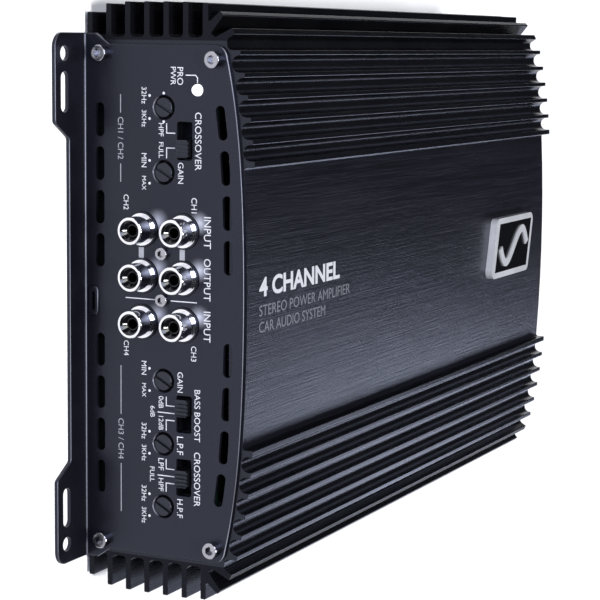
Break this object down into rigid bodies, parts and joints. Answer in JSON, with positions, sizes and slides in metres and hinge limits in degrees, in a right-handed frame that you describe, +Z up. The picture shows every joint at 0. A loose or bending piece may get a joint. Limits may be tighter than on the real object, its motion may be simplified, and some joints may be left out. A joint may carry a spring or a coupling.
{
  "type": "car amplifier",
  "caption": "Flat finned car audio amplifier with crowned top, phono jacks, level and crossover controls on one end, screw terminals and fuses on the other, and mounting ears.",
  "frame": {"origin": "centre of the footprint, on the plane under the mounting ears", "axes": "+X across the width, +Y along the extrusion from the control panel to the wiring panel, +Z up"},
  "size_m": [0.1796, 0.2952, 0.0589],
  "materials": {
    "anodised_black": "satin black anodised aluminium with a fine extrusion grain",
    "panel_black": "fine matte powder coat on steel sheet",
    "cover_black": "matte black zinc-coated steel sheet",
    "bright_screw": "nickel-plated steel",
    "jack_chrome": "polished nickel",
    "black_plastic": "moulded black nylon",
    "knob_plastic": "moulded dark grey plastic",
    "terminal_plastic": "glossy black flame-proof moulding",
    "brass_plated": "gold-flashed brass",
    "tinned": "tin-plated alloy",
    "led_lens": "diffused white lens",
    "board_green": "solder mask over glass-epoxy",
    "ferrite": "epoxy-coated ferrite",
    "copper_wire": "enamelled copper",
    "can_metal": "sleeved aluminium can",
    "epoxy": "moulded epoxy",
    "thermal_pad": "silicone thermal pad",
    "plain_steel": "zinc-plated steel",
    "fuse_amber": "translucent amber fuse body",
    "badge_silver": "satin silver casting"
  },
  "bodies": {
    "amplifier": {"heat_sink": "anodised_black", "bottom_cover": "cover_black", "cover_screws": "plain_steel", "control_panel": "panel_black", "terminal_panel": "panel_black", "control_panel_screws": "bright_screw", "terminal_panel_screws": "bright_screw", "rca_housing": "black_plastic", "rca_shells": "jack_chrome", "rca_insulators": "black_plastic", "rca_contacts": "jack_chrome", "rca_screws": "bright_screw", "trimmer_bodies": "black_plastic", "switch_bodies": "plain_steel", "power_led": "led_lens", "control_boards": "board_green", "board_headers": "black_plastic", "main_board": "board_green", "standoffs": "plain_steel", "board_screws": "plain_steel", "transformer_core": "ferrite", "transformer_winding": "copper_wire", "choke_core": "ferrite", "choke_winding": "copper_wire", "supply_capacitors": "can_metal", "signal_capacitors": "can_metal", "amplifier_chips": "epoxy", "output_transistors": "epoxy", "supply_transistors": "epoxy", "insulating_pads": "thermal_pad", "clamp_bars": "plain_steel", "clamp_screws": "plain_steel", "power_terminal_housing": "terminal_plastic", "power_terminal_clamps": "brass_plated", "power_terminal_screws": "bright_screw", "speaker_terminal_housing": "terminal_plastic", "speaker_terminal_clamps": "brass_plated", "speaker_terminal_screws": "bright_screw", "fuse_holder": "terminal_plastic", "fuse_contacts": "tinned", "badge": "badge_silver"},
    "front_crossover_trimmer": {"front_crossover_trimmer": "knob_plastic"},
    "front_gain_trimmer": {"front_gain_trimmer": "knob_plastic"},
    "rear_gain_trimmer": {"rear_gain_trimmer": "knob_plastic"},
    "rear_lowpass_trimmer": {"rear_lowpass_trimmer": "knob_plastic"},
    "rear_highpass_trimmer": {"rear_highpass_trimmer": "knob_plastic"},
    "front_crossover_slider": {"front_crossover_slider": "black_plastic"},
    "bass_boost_slider": {"bass_boost_slider": "black_plastic"},
    "rear_crossover_slider": {"rear_crossover_slider": "black_plastic"},
    "left_fuse": {"left_fuse_body": "fuse_amber", "left_fuse_blades": "tinned"},
    "right_fuse": {"right_fuse_body": "fuse_amber", "right_fuse_blades": "tinned"}
  },
  "joints": [
    {"name": "front_crossover_turn", "type": "hinge", "parent": "amplifier", "child": "front_crossover_trimmer", "pos_m": [-0.0588, -0.1315, 0.0286], "axis": [0, 1, 0], "range_deg": [0, 300]},
    {"name": "front_gain_turn", "type": "hinge", "parent": "amplifier", "child": "front_gain_trimmer", "pos_m": [-0.0396, -0.1315, 0.0286], "axis": [0, 1, 0], "range_deg": [0, 300]},
    {"name": "rear_gain_turn", "type": "hinge", "parent": "amplifier", "child": "rear_gain_trimmer", "pos_m": [0.0231, -0.1315, 0.0286], "axis": [0, 1, 0], "range_deg": [0, 300]},
    {"name": "rear_lowpass_turn", "type": "hinge", "parent": "amplifier", "child": "rear_lowpass_trimmer", "pos_m": [0.04245, -0.1315, 0.0286], "axis": [0, 1, 0], "range_deg": [0, 300]},
    {"name": "rear_highpass_turn", "type": "hinge", "parent": "amplifier", "child": "rear_highpass_trimmer", "pos_m": [0.0618, -0.1315, 0.0286], "axis": [0, 1, 0], "range_deg": [0, 300]},
    {"name": "front_crossover_slide", "type": "slide", "parent": "amplifier", "child": "front_crossover_slider", "axis": [1, 0, 0], "range_m": [-0.0044, 0]},
    {"name": "bass_boost_slide", "type": "slide", "parent": "amplifier", "child": "bass_boost_slider", "axis": [1, 0, 0], "range_m": [0, 0.0044]},
    {"name": "rear_crossover_slide", "type": "slide", "parent": "amplifier", "child": "rear_crossover_slider", "axis": [1, 0, 0], "range_m": [-0.0022, 0.0022]},
    {"name": "left_fuse_pull", "type": "slide", "parent": "amplifier", "child": "left_fuse", "axis": [0, 1, 0], "range_m": [0, 0.018]},
    {"name": "right_fuse_pull", "type": "slide", "parent": "amplifier", "child": "right_fuse", "axis": [0, 1, 0], "range_m": [0, 0.018]}
  ]
}
